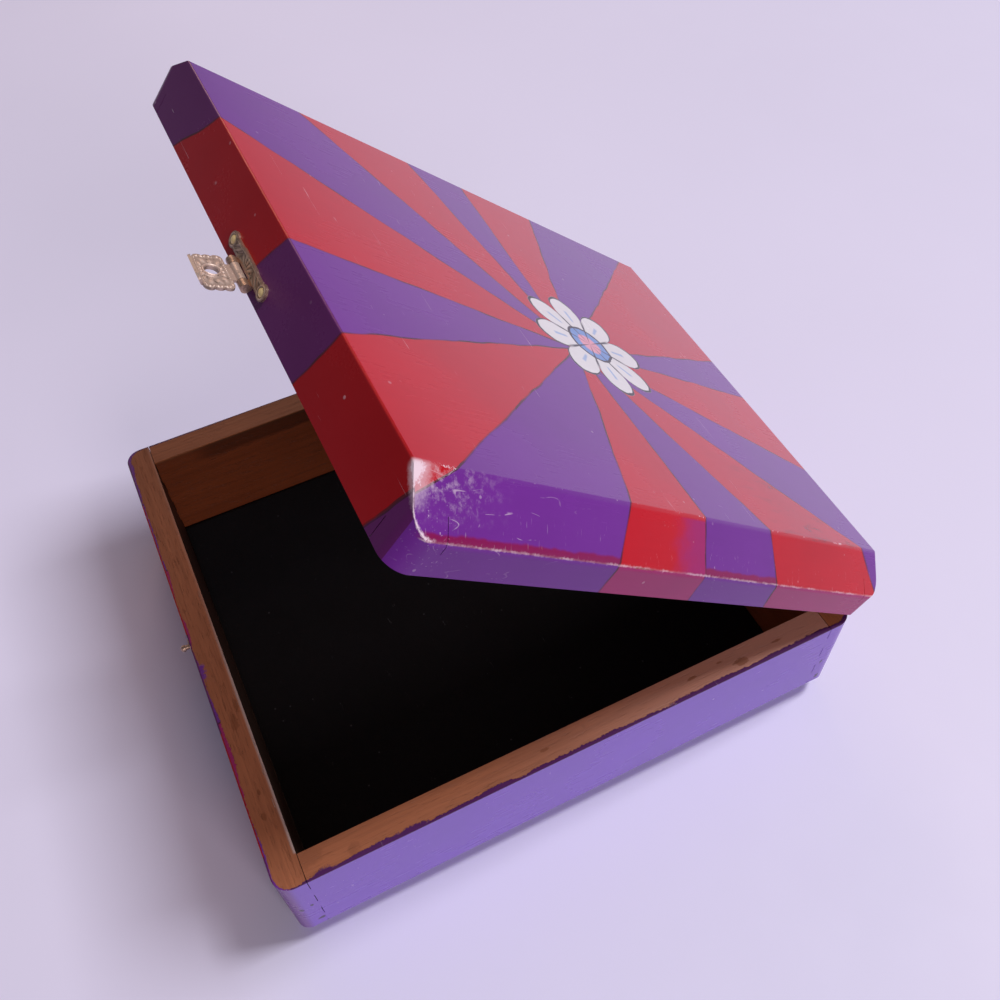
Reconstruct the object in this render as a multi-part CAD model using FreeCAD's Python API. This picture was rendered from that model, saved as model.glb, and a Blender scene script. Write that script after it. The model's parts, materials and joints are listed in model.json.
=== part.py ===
import FreeCAD, Part
import math
import os
from FreeCAD import Vector

# A finger-jointed cigar box: base, hinged lid and hasp.
# Millimetres and degrees. Origin at the centre of the underside, Z up, front towards -Y, X along the hinge.
# Everything is drawn with the lid shut and the hasp hanging, then turned to its resting place.

# Box
box_width = 210.0
box_depth = 232.0
board_thickness = 10.5
bottom_thickness = 7.0
top_thickness = 7.0
base_side_height = 45.5  # upright side of the base, from its bevel to the rim
lid_side_height = 10.5  # upright side of the lid, from its edge to its bevel
bevel_height = 11.0
bevel_width = 14.0
corner_radius = 6.5
bevel_radius = 3.0  # where a bevel turns into the upright side
top_edge_radius = 0.9  # where a bevel turns into the top or the underside
front_edge_radius = 0.6  # front and back edges of the top and the underside
lid_gap = 0.3  # left by the saw between base and lid when shut
base_fingers = 7
lid_fingers = 2
shoulder_gap = 0.25  # open line at the shoulder of each finger
hole_clearance = 0.05  # round every nail, stud and pin

# Floor lining
lining_thickness = 1.2
lining_margin = 0.4

# Butt hinges
hinge_side_distance = 43.0  # from the side of the box to the hinge's middle
hinge_length = 28.0
hinge_leaf_width = 11.0
hinge_leaf_thickness = 0.9
hinge_leaf_corner_radius = 1.6
hinge_barrel_radius = 1.9
hinge_standoff_gap = 0.25  # from the back to the barrel
hinge_pin_radius = 0.9
hinge_knuckle_gap = 0.15
hinge_sweep_clearance = 0.25
hinge_lip_length = 4.6  # stop lip, measured from the barrel's centre
hinge_lip_thickness = 0.8
hinge_lip_clearance = 0.15
hinge_nail_margin = 5.5  # from the leaf's end to its nail
lid_rest_angle = 41.4
lid_open_angle = 105.0

# Nails
nail_head_radius = 1.4
nail_head_height = 0.6
nail_shank_radius = 0.65
nail_depth_share = 0.6  # of the board that it goes into

# Hasp
hasp_offset = -2.6  # fitted by hand, a little off the middle
hasp_barrel_radius = 1.5
hasp_standoff_gap = 0.25  # from the lid's front to the barrel
hasp_pin_radius = 0.6
hasp_edge_margin = 0.4  # from the lid's edge up to the barrel
hasp_knuckle_gap = 0.15
hasp_leaf_knuckle_length = 7.4
hasp_plate_knuckle_length = 3.0
hasp_plate_thickness = 0.8
hasp_plate_height = 5.6
hasp_plate_middle_width = 14.0
hasp_wing_height = 3.8
hasp_wing_radius = 2.5
hasp_nail_margin = 3.2  # from the leaf's side to the nail's head
hasp_leaf_thickness = 0.8
hasp_leaf_side_width = 5.9  # from the eye to the leaf's side
hasp_leaf_tail_length = 1.8  # from the eye to the leaf's end
hasp_lobe_radius = 1.75
hasp_lobe_count = 3
hasp_neck_length = 1.0  # from the barrel's sweep to the lobed body
hasp_sweep_clearance = 0.2
hasp_lip_width = 11.4
hasp_lip_length = 2.4
hasp_lip_angle = 58.0
hasp_lip_tip_share = 0.75
hasp_rest_angle = 75.0
eye_length = 4.0
eye_width = 3.8
eye_drop_distance = 7.6
eye_border_width = 0.7
eye_border_height = 0.35

# Catch knob
knob_flange_margin = 1.1  # past the eye's side
knob_flange_height = 0.55
knob_neck_radius = 1.0
knob_eye_clearance = 0.55
knob_head_height = 1.9
knob_height = 4.2
knob_shank_radius = 1.1
knob_depth_share = 0.65  # of the board that it goes into

# Worked-out places
rim_height = bevel_height + base_side_height
lid_low = rim_height + lid_gap
box_height = lid_low + lid_side_height + bevel_height
right = box_width / 2
back = box_depth / 2
hinge_y = back + hinge_standoff_gap + hinge_barrel_radius
hinge_z = rim_height + lid_gap / 2
hinge_nail_reach = hinge_length / 2 - hinge_nail_margin
nail_length = hinge_leaf_thickness + board_thickness * nail_depth_share
hasp_y = -back - hasp_standoff_gap - hasp_barrel_radius
hasp_z = lid_low + hasp_edge_margin + hasp_barrel_radius
hasp_leaf_width = eye_width + 2 * hasp_leaf_side_width
hasp_leaf_length = eye_drop_distance + eye_length / 2 + hasp_leaf_tail_length
hasp_nail_reach = hasp_leaf_width / 2 + hasp_nail_margin + nail_head_radius
knob_z = hasp_z - eye_drop_distance
knob_head_radius = eye_width / 2 - knob_eye_clearance
knob_flange_radius = eye_width / 2 + knob_flange_margin
knob_shank_length = board_thickness * knob_depth_share

ALONG_X = Vector(1, 0, 0)
ALONG_Y = Vector(0, 1, 0)
ALONG_Z = Vector(0, 0, 1)


def block(x0, x1, y0, y1, z0, z1):
    """Box between two corners."""
    return Part.makeBox(x1 - x0, y1 - y0, z1 - z0, Vector(x0, y0, z0))


def rod(radius, start, end):
    """Round rod from one point to another."""
    run = end - start
    return Part.makeCylinder(radius, run.Length, start, run)


def one_solid(shape):
    """The single solid of a shape, with its split faces merged."""
    solids = shape.removeSplitter().Solids
    if len(solids) != 1:
        raise ValueError("expected one solid, got %d" % len(solids))
    return solids[0]


def rounded_face(corners, radii):
    """Flat face of a polygon whose corners are arcs of the given radii, or sharp where the radius is zero."""
    tangents = []
    edges = []
    for index, corner in enumerate(corners):
        if radii[index] == 0:
            tangents.append((corner, corner))
            continue
        behind = (corners[index - 1] - corner).normalize()
        ahead = (corners[(index + 1) % len(corners)] - corner).normalize()
        half_turn = (math.pi - behind.getAngle(ahead)) / 2
        reach = radii[index] * math.tan(half_turn)
        crown = radii[index] / math.cos(half_turn) - radii[index]
        first = corner + behind * reach
        last = corner + ahead * reach
        middle = corner + (behind + ahead).normalize() * crown
        tangents.append((first, last))
        edges.append(Part.Arc(first, middle, last).toShape())
    for index, (first, last) in enumerate(tangents):
        next_first = tangents[(index + 1) % len(tangents)][0]
        edges.append(Part.LineSegment(last, next_first).toShape())
    return Part.Face(Part.Wire(Part.__sortEdges__(edges)))


def shut_blank():
    """Outside form of the whole shut box: bevelled left and right, flat in front and behind, corners rounded."""
    flat = right - bevel_width
    shoulder = box_height - bevel_height
    outline = [
        Vector(-flat, -back, 0),
        Vector(flat, -back, 0),
        Vector(right, -back, bevel_height),
        Vector(right, -back, shoulder),
        Vector(flat, -back, box_height),
        Vector(-flat, -back, box_height),
        Vector(-right, -back, shoulder),
        Vector(-right, -back, bevel_height),
    ]
    end_radii = [top_edge_radius, top_edge_radius, bevel_radius, bevel_radius] * 2
    lengthwise = rounded_face(outline, end_radii).extrude(ALONG_Y * box_depth)
    plan = [
        Vector(-right, -back, 0),
        Vector(right, -back, 0),
        Vector(right, back, 0),
        Vector(-right, back, 0),
    ]
    upright = rounded_face(plan, [corner_radius] * len(plan)).extrude(ALONG_Z * box_height)
    side = [
        Vector(-right, -back, 0),
        Vector(-right, back, 0),
        Vector(-right, back, box_height),
        Vector(-right, -back, box_height),
    ]
    crosswise = rounded_face(side, [front_edge_radius] * len(side)).extrude(ALONG_X * box_width)
    return lengthwise.common(upright).common(crosswise)


def finger_blocks(low, high, count, first, along_x, depth):
    """Bands of every other finger level from `first`, as deep as a notch, at both X ends or at both Y ends."""
    step = (high - low) / count
    blocks = []
    for level in range(first, count, 2):
        z0 = low + level * step
        z1 = z0 + step
        for sign in (-1, 1):
            if along_x:
                start, end = sorted((sign * right, sign * (right - depth)))
                blocks.append(block(start, end, -back, back, z0, z1))
            else:
                start, end = sorted((sign * back, sign * (back - depth)))
                blocks.append(block(-right, right, start, end, z0, z1))
    return blocks


def finger_walls(blank, low, high, count, side_first):
    """Four walls cut from the blank and finger-jointed; the side walls own every other level from side_first."""
    notch = board_thickness + shoulder_gap
    front_first = 1 - side_first
    front_notches = finger_blocks(low, high, count, side_first, True, notch)
    side_notches = finger_blocks(low, high, count, front_first, False, notch)
    places = {
        "front": block(-right, right, -back, -back + board_thickness, low, high).cut(front_notches),
        "back": block(-right, right, back - board_thickness, back, low, high).cut(front_notches),
        "left": block(-right, -right + board_thickness, -back, back, low, high).cut(side_notches),
        "right": block(right - board_thickness, right, -back, back, low, high).cut(side_notches),
    }
    return {name: one_solid(blank.common(place)) for name, place in places.items()}


def dome(radius, height, foot, outward):
    """Cap of a ball that stands on the point `foot` and rises by `height`."""
    ball_radius = (radius**2 + height**2) / (2 * height)
    ball = Part.makeSphere(ball_radius, foot - outward * (ball_radius - height))
    return ball.common(Part.makeCylinder(radius, height, foot, outward))


def nail(seat, inward):
    """Round-headed nail whose head sits on the point `seat`, with its shank pointing inward."""
    shank = Part.makeCylinder(nail_shank_radius, nail_length, seat, inward)
    return one_solid(shank.fuse(dome(nail_head_radius, nail_head_height, seat, -inward)))


def nail_hole(seat, inward):
    """Hole that a nail's shank passes through, from its seat to past its point."""
    depth = nail_length + hole_clearance
    return Part.makeCylinder(nail_shank_radius + hole_clearance, depth, seat, inward)


def hinge_centre(sign):
    """Middle of the left (-1) or right (1) hinge along X."""
    return sign * (right - hinge_side_distance)


def hinge_nail_seats(above):
    """Nail seats of both hinges' leaves, above or below the seam, midway between barrel and leaf edge."""
    rise = (hinge_barrel_radius + hinge_leaf_width) / 2
    level = hinge_z + rise if above else hinge_z - rise
    face = back + hinge_leaf_thickness
    seats = []
    for sign in (-1, 1):
        for shift in (-hinge_nail_reach, hinge_nail_reach):
            seats.append(Vector(hinge_centre(sign) + shift, face, level))
    return seats


def hinge_knuckles(centre, outer):
    """Spans along X of a leaf's knuckles: the two outer thirds, or the middle third."""
    third = hinge_length / 3
    gap = hinge_knuckle_gap / 2
    low = centre - hinge_length / 2
    thirds = [(low + place * third + gap, low + (place + 1) * third - gap) for place in range(3)]
    return [thirds[0], thirds[2]] if outer else [thirds[1]]


def hinge_leaf(centre, above):
    """Leaf on the back of the lid (above) or of the base, with its knuckles and, on the base, the stop lip."""
    z0, z1 = (hinge_z, hinge_z + hinge_leaf_width) if above else (hinge_z - hinge_leaf_width, hinge_z)
    x0 = centre - hinge_length / 2
    x1 = centre + hinge_length / 2
    corners = [Vector(x0, back, z0), Vector(x1, back, z0), Vector(x1, back, z1), Vector(x0, back, z1)]
    outer = hinge_leaf_corner_radius
    radii = [0, 0, outer, outer] if above else [outer, outer, 0, 0]
    leaf = rounded_face(corners, radii).extrude(ALONG_Y * hinge_leaf_thickness)
    sweep = hinge_y - back + hinge_sweep_clearance
    gap = hinge_knuckle_gap
    for start, end in hinge_knuckles(centre, above):
        leaf = leaf.cut(rod(sweep, Vector(start - gap, hinge_y, hinge_z), Vector(end + gap, hinge_y, hinge_z)))
    for start, end in hinge_knuckles(centre, not above):
        leaf = leaf.fuse(rod(hinge_barrel_radius, Vector(start, hinge_y, hinge_z), Vector(end, hinge_y, hinge_z)))
        if not above:
            leaf = leaf.fuse(stop_lip(start, end))
    bore = rod(hinge_pin_radius + hole_clearance, Vector(x0, hinge_y, hinge_z), Vector(x1, hinge_y, hinge_z))
    leaf = leaf.cut(bore)
    for seat in hinge_nail_seats(above):
        leaf = leaf.cut(nail_hole(seat, -ALONG_Y))
    return one_solid(leaf)


def stop_lip(start, end):
    """Lip on a base knuckle that the lid leaf's face meets when the lid is fully open."""
    near = back + hinge_leaf_thickness + hinge_lip_clearance
    lip = block(start, end, near, near + hinge_lip_thickness, hinge_z, hinge_z + hinge_lip_length)
    lip.rotate(Vector(0, hinge_y, hinge_z), -ALONG_X, lid_open_angle)
    return lip


def hinge_pin(centre):
    """Plain pin through a hinge's three knuckles, flush with the outer ones."""
    middle = Vector(centre, hinge_y, hinge_z)
    reach = ALONG_X * hinge_length / 2
    return rod(hinge_pin_radius, middle - reach, middle + reach)


def hasp_nail_seats():
    """Nail seats on the face of the hasp's plate, one in each wing."""
    level = hasp_z + hasp_barrel_radius + hasp_wing_height / 2
    face = -back - hasp_plate_thickness
    return [Vector(hasp_offset + sign * hasp_nail_reach, face, level) for sign in (-1, 1)]


def hasp_plate():
    """Stamped plate: a tall middle, two lobed wings with nail holes, and two knuckles at its lower edge."""
    face = -back
    out = -ALONG_Y * hasp_plate_thickness
    half = hasp_plate_middle_width / 2
    top = hasp_z + hasp_plate_height
    crown = hasp_plate_height / 3
    middle = [
        Vector(hasp_offset - half, face, hasp_z),
        Vector(hasp_offset + half, face, hasp_z),
        Vector(hasp_offset + half, face, top),
        Vector(hasp_offset - half, face, top),
    ]
    plate = rounded_face(middle, [0, 0, crown, crown]).extrude(out)
    wing_low = hasp_z + hasp_barrel_radius
    reach = hasp_nail_reach
    wing_high = wing_low + hasp_wing_height
    wing = [
        Vector(hasp_offset - reach, face, wing_low),
        Vector(hasp_offset + reach, face, wing_low),
        Vector(hasp_offset + reach, face, wing_high),
        Vector(hasp_offset - reach, face, wing_high),
    ]
    plate = plate.fuse(rounded_face(wing, [hasp_wing_height / 4] * len(wing)).extrude(out))
    for seat in hasp_nail_seats():
        lobe = Part.makeCylinder(hasp_wing_radius, hasp_plate_thickness, Vector(seat.x, face, seat.z), -ALONG_Y)
        plate = plate.fuse(lobe)
    sweep = -back - hasp_y + hasp_sweep_clearance
    leaf_half = hasp_leaf_knuckle_length / 2
    opening = leaf_half + hasp_knuckle_gap
    axis = Vector(hasp_offset, hasp_y, hasp_z)
    plate = plate.cut(rod(sweep, axis - ALONG_X * opening, axis + ALONG_X * opening))
    outer_end = opening + hasp_plate_knuckle_length
    for sign in (-1, 1):
        knuckle = rod(hasp_barrel_radius, axis + ALONG_X * sign * opening, axis + ALONG_X * sign * outer_end)
        plate = plate.fuse(knuckle)
    bore = hasp_pin_radius + hole_clearance
    plate = plate.cut(rod(bore, axis - ALONG_X * outer_end, axis + ALONG_X * outer_end))
    for seat in hasp_nail_seats():
        plate = plate.cut(nail_hole(seat, ALONG_Y))
    return one_solid(plate)


def hasp_pin():
    """Plain pin through the hasp's three knuckles, flush with the outer ones."""
    reach = hasp_leaf_knuckle_length / 2 + hasp_knuckle_gap + hasp_plate_knuckle_length
    axis = Vector(hasp_offset, hasp_y, hasp_z)
    return rod(hasp_pin_radius, axis - ALONG_X * reach, axis + ALONG_X * reach)


def oval(length, width, thickness, centre):
    """Upright oval prism, long way along Z, grown forwards (-Y) from its centre."""
    ring = Part.Ellipse(centre + ALONG_Z * length / 2, centre + ALONG_X * width / 2, centre)
    return Part.Face(Part.Wire(ring.toShape())).extrude(-ALONG_Y * thickness)


def hasp_leaf():
    """Hanging leaf: lobed sides, an oval eye with a raised border, a knuckle and a lip to lift it by."""
    axis = Vector(hasp_offset, hasp_y, hasp_z)
    rear = hasp_y + hasp_leaf_thickness / 2
    front = rear - hasp_leaf_thickness
    start = hasp_z - hasp_barrel_radius - hasp_sweep_clearance - hasp_neck_length
    end = hasp_z - hasp_leaf_length
    waist = hasp_leaf_width / 2 - hasp_lobe_radius
    leaf = block(hasp_offset - waist, hasp_offset + waist, front, rear, end, start)
    tongue = hasp_leaf_knuckle_length / 2
    leaf = leaf.fuse(block(hasp_offset - tongue, hasp_offset + tongue, front, rear, start, hasp_z))
    pitch = (start - end - 2 * hasp_lobe_radius) / (hasp_lobe_count - 1)
    for place in range(hasp_lobe_count):
        level = start - hasp_lobe_radius - place * pitch
        for sign in (-1, 1):
            centre = Vector(hasp_offset + sign * waist, rear, level)
            leaf = leaf.fuse(Part.makeCylinder(hasp_lobe_radius, hasp_leaf_thickness, centre, -ALONG_Y))
    eye = Vector(hasp_offset, front, hasp_z - eye_drop_distance)
    border = oval(eye_length + 2 * eye_border_width, eye_width + 2 * eye_border_width, eye_border_height, eye)
    leaf = leaf.fuse(border).fuse(lifting_lip(end, front))
    through = hasp_leaf_thickness + eye_border_height
    leaf = leaf.cut(oval(eye_length, eye_width, through, Vector(eye.x, rear, eye.z)))
    leaf = leaf.fuse(rod(hasp_barrel_radius, axis - ALONG_X * tongue, axis + ALONG_X * tongue))
    bore = hasp_pin_radius + hole_clearance
    leaf = leaf.cut(rod(bore, axis - ALONG_X * tongue, axis + ALONG_X * tongue))
    return one_solid(leaf)


def lifting_lip(end, front):
    """Lip at the leaf's end, bent forwards, with a rounded tip."""
    half = hasp_lip_width / 2
    rear = front + hasp_leaf_thickness
    corners = [
        Vector(hasp_offset - half, rear, end),
        Vector(hasp_offset + half, rear, end),
        Vector(hasp_offset + half, rear, end - hasp_lip_length),
        Vector(hasp_offset - half, rear, end - hasp_lip_length),
    ]
    tip = min(hasp_lip_length, half) * hasp_lip_tip_share
    lip = rounded_face(corners, [0, 0, tip, tip]).extrude(-ALONG_Y * hasp_leaf_thickness)
    lip.rotate(Vector(hasp_offset, front, end), -ALONG_X, hasp_lip_angle)
    root = Vector(hasp_offset - half, front, end)
    elbow = Part.makeCylinder(hasp_leaf_thickness, hasp_lip_width, root, ALONG_X)
    wedge = elbow.common(block(root.x, root.x + hasp_lip_width, front, rear, end - hasp_leaf_thickness, end))
    return lip.fuse(wedge)


def catch_knob():
    """Turned stud: flange, neck and domed head in front of the board, shank in it."""
    seat = Vector(hasp_offset, -back, knob_z)
    crown = knob_head_height / 2
    head = seat - ALONG_Y * (knob_height - knob_head_height)
    brow = head - ALONG_Y * (knob_head_height - crown)
    knob = rod(knob_shank_radius, seat + ALONG_Y * knob_shank_length, seat)
    knob = knob.fuse(rod(knob_flange_radius, seat, seat - ALONG_Y * knob_flange_height))
    knob = knob.fuse(rod(knob_neck_radius, seat, head))
    knob = knob.fuse(rod(knob_head_radius, head, brow))
    knob = knob.fuse(dome(knob_head_radius, crown, brow, -ALONG_Y))
    return one_solid(knob)


def floor_lining():
    """Felt laid on the floor between the walls."""
    x = right - board_thickness - lining_margin
    y = back - board_thickness - lining_margin
    return block(-x, x, -y, y, bottom_thickness, bottom_thickness + lining_thickness)


def base_nodes(blank):
    """Solids that stay with the base."""
    walls = finger_walls(blank, bottom_thickness, rim_height, base_fingers, 1)
    knob_seat = Vector(hasp_offset, -back, knob_z)
    bore = Part.makeCylinder(knob_shank_radius + hole_clearance, knob_shank_length, knob_seat, ALONG_Y)
    seats = hinge_nail_seats(False)
    nodes = {
        "base_front_board": one_solid(walls["front"].cut(bore)),
        "base_back_board": one_solid(walls["back"].cut([nail_hole(seat, -ALONG_Y) for seat in seats])),
        "base_left_board": walls["left"],
        "base_right_board": walls["right"],
        "base_bottom_board": one_solid(blank.common(block(-right, right, -back, back, 0, bottom_thickness))),
        "floor_lining": floor_lining(),
        "catch_knob": catch_knob(),
        "hinge_base_nails": Part.makeCompound([nail(seat, -ALONG_Y) for seat in seats]),
    }
    for side, sign in (("left", -1), ("right", 1)):
        nodes["hinge_%s_base_leaf" % side] = hinge_leaf(hinge_centre(sign), False)
        nodes["hinge_%s_pin" % side] = hinge_pin(hinge_centre(sign))
    return nodes


def lid_nodes(blank):
    """Solids that turn with the lid, still shut."""
    lid_inside = box_height - top_thickness
    walls = finger_walls(blank, lid_low, lid_inside, lid_fingers, 0)
    seats = hinge_nail_seats(True)
    holes = [nail_hole(seat, ALONG_Y) for seat in hasp_nail_seats()]
    holes += [nail_hole(seat, -ALONG_Y) for seat in seats]
    top = blank.common(block(-right, right, -back, back, lid_inside, box_height))
    nodes = {
        "lid_front_rail": one_solid(walls["front"].cut(holes)),
        "lid_back_rail": one_solid(walls["back"].cut(holes)),
        "lid_left_rail": walls["left"],
        "lid_right_rail": walls["right"],
        "lid_top_board": one_solid(top.cut(holes)),
        "hinge_lid_nails": Part.makeCompound([nail(seat, -ALONG_Y) for seat in seats]),
        "hasp_plate": hasp_plate(),
        "hasp_pin": hasp_pin(),
        "hasp_nails": Part.makeCompound([nail(seat, ALONG_Y) for seat in hasp_nail_seats()]),
    }
    for side, sign in (("left", -1), ("right", 1)):
        nodes["hinge_%s_lid_leaf" % side] = hinge_leaf(hinge_centre(sign), True)
    return nodes


def open_lid(shape):
    """Turn a lid piece from shut to its resting angle about the hinge."""
    shape.rotate(Vector(0, hinge_y, hinge_z), -ALONG_X, lid_rest_angle)
    return shape


def swing_leaf(shape):
    """Turn the hasp leaf from hanging to its resting angle about its own pin."""
    shape.rotate(Vector(0, hasp_y, hasp_z), -ALONG_X, hasp_rest_angle)
    return shape


def main():
    blank = shut_blank()
    nodes = base_nodes(blank)
    for name, shape in lid_nodes(blank).items():
        nodes[name] = open_lid(shape)
    nodes["hasp_leaf"] = open_lid(swing_leaf(hasp_leaf()))
    os.makedirs("parts", exist_ok=True)
    for name, shape in nodes.items():
        shape.exportStep("parts/%s.step" % name)
        print("%-24s solids %d volume %.1f" % (name, len(shape.Solids), shape.Volume))


main()
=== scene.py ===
import json
import math

import bpy
import numpy as np
from bpy.props import FloatProperty, FloatVectorProperty, PointerProperty
from mathutils import Matrix, Vector


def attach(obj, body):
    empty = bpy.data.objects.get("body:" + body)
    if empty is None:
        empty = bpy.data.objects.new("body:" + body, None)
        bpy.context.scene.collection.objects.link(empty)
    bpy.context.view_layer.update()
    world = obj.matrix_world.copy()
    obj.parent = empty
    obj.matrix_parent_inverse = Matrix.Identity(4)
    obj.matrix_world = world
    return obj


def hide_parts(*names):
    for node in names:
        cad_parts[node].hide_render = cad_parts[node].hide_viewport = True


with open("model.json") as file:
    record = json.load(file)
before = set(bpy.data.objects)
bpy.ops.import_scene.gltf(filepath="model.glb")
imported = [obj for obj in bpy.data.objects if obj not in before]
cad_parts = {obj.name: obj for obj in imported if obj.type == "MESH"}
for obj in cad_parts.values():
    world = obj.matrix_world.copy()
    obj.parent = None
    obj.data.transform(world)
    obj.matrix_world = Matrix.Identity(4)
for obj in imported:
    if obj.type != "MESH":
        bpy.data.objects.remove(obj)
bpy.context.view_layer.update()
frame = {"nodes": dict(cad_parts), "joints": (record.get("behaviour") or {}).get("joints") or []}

bl_info = {
    "name": "Cigar box",
    "version": (1, 0, 0),
    "blender": (4, 5, 0),
    "location": "3D View > Sidebar > Cigar box",
    "description": "Paints, lines and lights a finger-jointed cigar box with a sunburst lid",
    "category": "Object",
}

# Measures taken from the packed frame, in millimetres

MM = 0.001
JOINTS = {joint["name"]: joint for joint in frame["joints"]}


def rest_angle(joint):
    """How far a joint stands from its shut end when the box is as photographed, in radians."""
    return math.radians(-JOINTS[joint]["range_deg"][0])


LID_TURN = rest_angle("lid_hinge")
HASP_TURN = LID_TURN + rest_angle("hasp_swing")
LID_AXIS = np.array(JOINTS["lid_hinge"]["pos_m"]) / MM
HASP_AXIS = np.array(JOINTS["hasp_swing"]["pos_m"]) / MM


def turned(points, angle, axis):
    """Points turned about a line along X through axis; a positive angle opens the lid or lifts the hasp.
    The sideways and upward offsets from the line are mixed by the angle's cosine and sine."""
    y, z = points[..., 1] - axis[1], points[..., 2] - axis[2]
    c, s = math.cos(angle), math.sin(angle)
    return np.stack([points[..., 0], axis[1] + c * y + s * z, axis[2] - s * y + c * z], axis=-1)


def node_points(node):
    """A CAD node's corners at rest, in millimetres."""
    mesh = frame["nodes"][node].data
    flat = np.empty(len(mesh.vertices) * 3, np.float32)
    mesh.vertices.foreach_get("co", flat)
    return flat.reshape(-1, 3) / MM


def shut_points(node):
    """A lid node's corners with the lid shut, in millimetres."""
    return turned(node_points(node), -LID_TURN, LID_AXIS)


SIDE_BOARD = node_points("base_right_board")
LINING = node_points("floor_lining")
HALF_WIDTH = float(SIDE_BOARD[:, 0].max())
HALF_DEPTH = float(-node_points("base_front_board")[:, 1].min())
INNER_HALF = float(SIDE_BOARD[:, 0].min())  # half the width between the side walls
BOARD = HALF_WIDTH - INNER_HALF
RIM = float(SIDE_BOARD[:, 2].max())
FLOOR_LEVEL = float(node_points("base_bottom_board")[:, 2].max())
LID_TOP = float(shut_points("lid_top_board")[:, 2].max())
LID_LOW = float(shut_points("lid_right_rail")[:, 2].min())
BEVEL_HEIGHT = 11.0
BEVEL_WIDTH = 14.0
BEVEL_SLOPE = math.hypot(BEVEL_HEIGHT, BEVEL_WIDTH)
LEAN, RISE = BEVEL_HEIGHT / BEVEL_SLOPE, BEVEL_WIDTH / BEVEL_SLOPE
FLAT = HALF_WIDTH - BEVEL_WIDTH  # half width of the lid's flat top
LID_SHOULDER = LID_TOP - BEVEL_HEIGHT
CORNER_RADIUS = 6.5
BASE_FINGERS = 7
LID_FINGERS = 2

BASE_BOARDS = ("base_front_board", "base_back_board", "base_left_board", "base_right_board", "base_bottom_board")
LID_BOARDS = ("lid_front_rail", "lid_back_rail", "lid_left_rail", "lid_right_rail", "lid_top_board")
CROSS_GRAIN = ("base_left_board", "base_right_board", "lid_left_rail", "lid_right_rail")
BRASS_NODES = (
    "hinge_left_base_leaf", "hinge_right_base_leaf", "hinge_left_lid_leaf", "hinge_right_lid_leaf",
    "hinge_left_pin", "hinge_right_pin", "hinge_base_nails", "hinge_lid_nails",
)
HASP_NODES = ("hasp_plate", "hasp_leaf", "hasp_pin", "hasp_nails")

# The hasp as drawn, hanging: distances down from its pin on the leaf, and up from its pin on the plate
EYE_HALF = np.array([1.9, 2.0])
EYE_DROP = 7.6
EYE_BORDER = 0.7
EYE_BORDER_HEIGHT = 0.35
LEAF_FRONT = 0.4
LEAF_START = 2.7
LEAF_END = 11.4
LEAF_WAIST = 6.05
LOBE_RADIUS = 1.75
LOBE_LEVELS = (4.45, 7.05, 9.65)
PLATE_FRONT = 0.8
PLATE_TOP = 5.6
PLATE_HALF = 7.0
WING_LOW = 1.5
WING_HEIGHT = 3.8
WING_RADIUS = 2.5
NAIL_REACH = 12.4
NAIL_LEVEL = WING_LOW + WING_HEIGHT / 2
KNUCKLE_OPENING = 3.85
KNUCKLE_SWEEP = 1.95
RELIEF_FOOT = -0.05  # the ornament's lowest level, just under the metal's face
RELIEF_BACK = 0.25  # its underside, inside the metal
PLATE_RELIEF_SHARE = 0.8

# Round heads of the nails
HEAD_RADIUS = 1.4
HEAD_HEIGHT = 0.6
HEAD_SINK = 0.1
NAIL_SPACING = 4.0  # corners farther apart along X belong to different nails

# The sunburst: its middle, and where each ray's first edge meets the edge of the lid's top, going round
SUN_MIDDLE = (12.0, -2.0)
RAY_EDGES = (
    (-90.0, -24.2), (-90.0, -71.2), (-57.0, -116.0), (5.0, -116.0), (45.6, -116.0), (90.0, -102.8),
    (90.0, -36.6), (90.0, -0.4), (90.0, 36.4), (90.0, 100.5), (44.8, 102.0), (5.3, 102.0), (-16.1, 102.0),
    (-89.6, 105.5), (-90.0, 44.0), (-90.0, 5.2),
)
NEAR_RAY = 97.5  # where the front's last edge meets the top
NEAR_RAY_END = -102.8  # the same edge on the near bevel

ROSETTE_MIDDLE = (5.0, 11.0)
ROSETTE_RADIUS = 27.0
ROSETTE_PETALS = 8

# Marks of use on the base: the middle of each and its half sizes
BASE_MARKS = {
    "Stain": (
        ((38.9, -110.1, 56.5), (4.6, 1.5, 1.0)), ((33.0, -107.6, 56.5), (3.2, 1.0, 1.0)),
        ((68.2, -110.1, 56.5), (1.4, 0.9, 1.0)), ((77.5, -111.2, 56.5), (2.0, 1.2, 1.0)),
        ((101.0, 67.3, 56.5), (1.7, 4.0, 1.0)), ((98.6, 47.5, 56.5), (0.7, 2.8, 1.0)),
        ((97.6, 60.0, 56.5), (0.5, 2.0, 1.0)), ((99.5, 84.0, 56.5), (0.6, 3.0, 1.0)),
        ((99.0, -14.0, 56.5), (0.8, 2.2, 1.0))),
    "Smudge": (
        ((13.5, -115.4, 56.5), (4.4, 2.2, 3.0)), ((104.6, -99.0, 56.5), (2.2, 5.0, 0.8)),
        ((104.4, -68.0, 56.5), (1.9, 8.0, 0.8)), ((104.6, 94.7, 56.5), (1.9, 8.0, 0.8)),
        ((104.6, 42.0, 56.5), (1.5, 9.0, 0.8))),
    "Chip": (
        ((105.0, 109.0, 15.9), (1.0, 1.3, 2.0)), ((105.0, 108.0, 29.0), (1.0, 0.8, 1.6)),
        ((105.0, -111.8, 32.3), (1.0, 1.2, 1.8)), ((105.0, -107.0, 17.7), (1.0, 1.5, 1.4)),
        ((105.0, -107.7, 34.3), (1.0, 0.8, 1.2))),
}

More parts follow.
